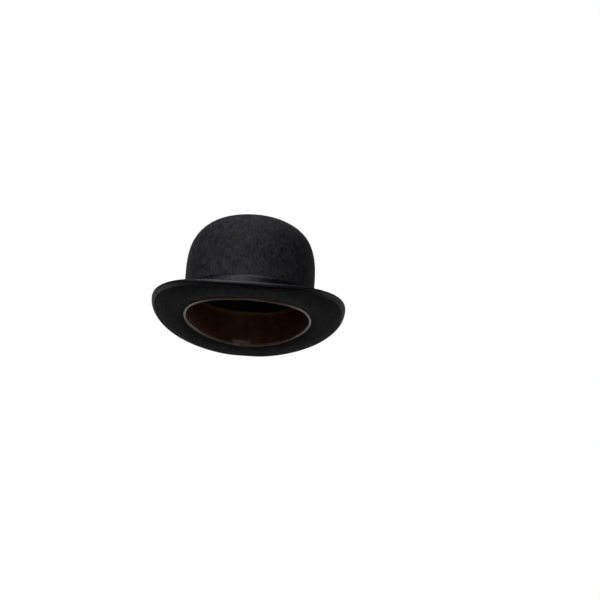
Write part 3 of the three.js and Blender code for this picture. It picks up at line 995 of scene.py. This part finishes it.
def make_sweatband_stitches():
    """A slightly uneven row above the roll, which stops short of the tab at both sides."""
    pitch, tab_clear, zigzag = 3.1, 3.0, 0.35
    low, high = extent("back_join_tab")
    tab_at = 0.25 - (low[0] + high[0]) / 2 / STITCHED_LENGTH
    tab_share = ((high[0] - low[0]) / 2 + tab_clear) / STITCHED_LENGTH

    def face(angle):
        h = np.full(len(angle), LEATHER_FACE - 0.12)
        z = break_height(angle) + STITCH_UP + zigzag * np.sign(np.sin(angle * 160))
        return np.stack([h, z], 1), np.array([[-1.0, 0.0]])

    def under_tab(share):
        return abs(share - tab_at) < tab_share

    stitch_row("sweatband_stitches", "sweatband_thread", face, pitch, under_tab)


def make_tab():
    """The tan tab over the sweatband's join at the back, turned under the roll with it."""
    low, high = extent("back_join_tab")
    centre_x = (low[0] + high[0]) / 2
    middle = angle_along(BACK, -centre_x)
    half = angle_along(BACK, (high[0] - low[0]) / 2) - BACK
    angle = around(90, middle - half, middle + half)
    roll = leather_roll(angle, 300, 30)
    share = np.linspace(0, 1, 12)[None, :-1]
    z = high[2] * (1 - share) + roll[:, :1, 1] * share
    bend = ramp(z - roll[:, :1, 1], 0, 2)
    h = (LEATHER_FACE + LEATHER / 2) * bend + roll[:, :1, 0] * (1 - bend)
    body = np.concatenate([np.stack([h, z], 2), roll], 1)
    count = body.shape[1]
    across = np.linspace(-1, 1, len(angle))[:, None]
    down = np.linspace(0, 1, count)[None, :]
    ragged = 0.04 * np.sin(across * 9 + down * 7) + 0.03 * np.sin(across * 21 - down * 4)
    from_middle = np.abs(2 * down - 1)
    edge = np.clip(1.1 - np.abs(across) ** 12 - from_middle**16, 0.3, 1)
    thick = (0.46 - 0.2 * down) * edge + ragged * (1 - down)
    clear = LEATHER / 2 + 0.05
    outer = offset(body, -clear - thick)
    inner = offset(body, np.full((len(angle), count), -clear))
    points = handwork(place(angle, between(outer, inner)))
    corner = 1 - 0.10 * ramp(from_middle, 0.8, 1) ** 2
    points[..., 0] = centre_x + (points[..., 0] - centre_x) * between(corner, corner)
    made = swept("join_tab_leather", points, False)
    rim = np.maximum(np.abs(across) ** 8, from_middle**10)
    paint(made, "rim", between(rim, rim))
    finish_piece(made, TAB_LOOK, "tab", "back_join_tab")


def make_ticket():
    """A blank card tucked behind the sweatband, a little bent with age."""
    low, high = extent("size_ticket")
    start = math.atan2(high[1] / HEAD_HALF_LENGTH, high[0] / HEAD_HALF_WIDTH)
    end = math.atan2(low[1] / HEAD_HALF_LENGTH, low[0] / HEAD_HALF_WIDTH)
    angle = around(40, start, end)
    thickness, corner_cut = 0.2, 0.72
    share = np.linspace(0, 1, 24)[None, :]
    across = np.linspace(-1, 1, len(angle))[:, None]
    corner = ramp(np.abs(across), 0.9, 1) * (2 * share - 1) ** 9
    z = low[2] + (high[2] - low[2]) * share - corner_cut * corner
    face = LEATHER_FACE + LEATHER + GAP + 0.04 * np.sin(across * 3) * np.sin(share * 5)
    outer = np.stack([face + thickness, z], 2)[:, ::-1]
    inner = np.stack([face, z], 2)[:, ::-1]
    made = swept("size_card", place(angle, between(outer, inner)), False)
    finish_piece(made, paper_material(), "paper", "size_ticket")


# ----------------------------------------------------------
# The lining


TIP_EDGE = math.asin(TIP_SHARE ** (1 / DOME_POWER)) / (math.pi / 2)  # its place on the dome
PLEATS = 52


def make_lining_side():
    angle = around(960)
    foot = np.linspace(WALL_TOP, LINING_FOOT, 16)[1:]
    wall = np.zeros((len(angle), len(foot), 2))
    wall[..., 1] = foot
    line = np.concatenate([dome(angle, TIP_EDGE + 0.012, 1, 30), wall], 1)
    height = line[..., 1]
    gathered = ramp(height, 58, 108) ** 1.5
    phase = angle * PLEATS + 1.7 * np.sin(angle * 5) + 0.9 * np.sin(angle * 11 + 1)
    fold = (0.5 + 0.5 * np.sin(phase))[:, None] ** 1.4
    slow = (0.5 + 0.5 * np.sin(angle * 13 + 0.7))[:, None]
    pleat = 1.5 * fold * gathered + 0.7 * slow * ramp(height, 55, 85)
    edge = np.ones(line.shape[1])
    edge[[0, -1]] = 0.5
    outer = offset(line, -GAP - pleat)
    inner = offset(line, -GAP - pleat - LINING * edge[None, :])
    points = handwork(place(angle, between(outer, inner)))
    made = swept("lining_side_satin", points)
    finish_piece(made, SATIN_LOOK, "satin", "lining_side")


def make_lining_tip():
    angle = around(480)
    line = dome(angle, 0, TIP_EDGE, 26)
    length = wall_foot(angle)[0][:, None]
    share = (line[..., 0] + length) / length / TIP_SHARE
    pucker = (0.5 + 0.5 * np.sin(angle * PLEATS))[:, None]
    sag = 1.6 * (1 - share**2) + 0.35 * share**3 * pucker
    top = offset(line, -GAP - sag)
    under = offset(line, -GAP - sag - LINING)
    for side in (top, under):
        side[:, 0, 0] = line[:, 0, 0]
        side[:, 0, 1] = side[:, 0, 1].mean()
    points = handwork(place(angle, between(top, under)))
    made = swept("lining_tip_satin", points, poles=True)
    finish_piece(made, SATIN_LOOK, "satin", "lining_tip")


# ----------------------------------------------------------
# Camera, light and floor

SEEN_FROM = math.radians(-17.36)  # the camera's height angle, in the hat's own frame
SEEN_ROUND = math.radians(-0.25)
CAMERA_ROLL = math.radians(4.03)
CAMERA_DISTANCE = 1.619
FOCAL_SHARE = 1256.6 / 600  # focal length over the frame's width
AIM_RIGHT, AIM_UP = 0.0422, 0.0191  # how far past the hat's opening the camera aims, as tangents
HAT_CENTRE = Vector((0, 0, MM))


def make_camera():
    data = bpy.data.cameras.new("camera")
    camera = bpy.data.objects.new("camera", data)
    bpy.context.scene.collection.objects.link(camera)
    out = math.cos(SEEN_FROM)
    back = Vector((math.sin(SEEN_ROUND) * out, -math.cos(SEEN_ROUND) * out, math.sin(SEEN_FROM)))
    right = Vector((math.cos(SEEN_ROUND), math.sin(SEEN_ROUND), 0))
    up = back.cross(right)
    facing = Matrix((right, up, back)).transposed() @ Matrix.Rotation(CAMERA_ROLL, 3, "Z")
    hat_seen = Vector((-AIM_RIGHT, -AIM_UP, -1)).normalized()
    aim = hat_seen.rotation_difference(Vector((0, 0, -1))).to_matrix()
    camera.matrix_world = Matrix.Translation(HAT_CENTRE + back * CAMERA_DISTANCE) @ (
        facing @ aim
    ).to_4x4()
    data.sensor_width = 36
    data.lens = FOCAL_SHARE * data.sensor_width
    data.clip_start, data.clip_end = 0.05, 60
    bpy.context.scene.camera = camera


def sun(name, round_from, height, strength, spread=35):
    """Light from an angle round the hat, from +X towards +Y, and an angle above the table."""
    data = bpy.data.lights.new(name, "SUN")
    data.energy = strength
    data.angle = math.radians(spread)
    light = bpy.data.objects.new(name, data)
    bpy.context.scene.collection.objects.link(light)
    turned, raised = math.radians(round_from), math.radians(height)
    level = math.cos(raised)
    towards = Vector((math.cos(turned) * level, math.sin(turned) * level, math.sin(raised)))
    light.location = towards
    light.rotation_mode = "QUATERNION"
    light.rotation_quaternion = towards.to_track_quat("Z", "Y")


def make_world():
    """White where the camera sees it, and next to no light on the hat."""
    world = bpy.data.worlds.new("white_room")
    bpy.context.scene.world = world
    world.use_nodes = True
    nodes, links = world.node_tree.nodes, world.node_tree.links
    nodes.clear()
    ray = nodes.new("ShaderNodeLightPath")
    mix = nodes.new("ShaderNodeMixShader")
    out = nodes.new("ShaderNodeOutputWorld")
    links.new(ray.outputs["Is Camera Ray"], mix.inputs[0])
    for socket, strength in ((1, 0.01), (2, 1.0)):
        background = nodes.new("ShaderNodeBackground")
        background.inputs[0].default_value = WHITE
        background.inputs[1].default_value = strength
        links.new(background.outputs[0], mix.inputs[socket])
    links.new(mix.outputs[0], out.inputs[0])


def make_floor():
    """A pale floor, far enough below the hat to leave the camera its view from underneath.

    It brightens with distance, so that it runs into the white of the room with no horizon.
    """
    height, reach, bright_from, white_from = -0.62, 14.0, 0.8, 5.0
    turn = around(96)
    rim = np.stack([reach * np.cos(turn), reach * np.sin(turn), np.full(96, height)], 1)
    floor = new_object("floor", rim, [tuple(range(len(rim)))], False)
    s = Shader("pale_floor")
    place = s.place()
    speck = s.noise(place, 30, 3, 0.6)
    base = s.mix(s.remap(speck, 0.3, 0.7), *FLOOR_TONES)
    away = s.add("VectorMath", {0: place}, operation="LENGTH").outputs["Value"]
    look = s.principled(
        Base_Color=base,
        Roughness=0.9,
        Emission_Color=WHITE,
        Emission_Strength=s.remap(away, bright_from, white_from, 0.30, 0.75),
    )
    floor.data.materials.append(look)
    floor.visible_diffuse = floor.visible_glossy = floor.visible_shadow = False


make_felt()
make_hat_band()
make_binding()
make_binding_stitches()
make_bow_tails()
make_bow_loops()
make_bow_knot()
make_sweatband()
make_sweatband_stitches()
make_tab()
make_ticket()
make_lining_side()
make_lining_tip()
for node, look in (("sweatband_reed", cane_material()), ("reed_tape", tape_material())):
    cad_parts[node].data.materials.clear()
    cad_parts[node].data.materials.append(look)

make_camera()
make_world()
make_floor()
sun("key", 238, 29, 2.05)
sun("front", 255, 28, 0.4)
sun("top", 270, 75, 0.8)
sun("back", 90, 14, 0.56, 60)
sun("low_left", 135, -22, 0.18)
sun("low_right", 30, -14, 0.30)
sun("low_front", 275, -18, 0.14)
bpy.context.scene.view_settings.view_transform = "Standard"
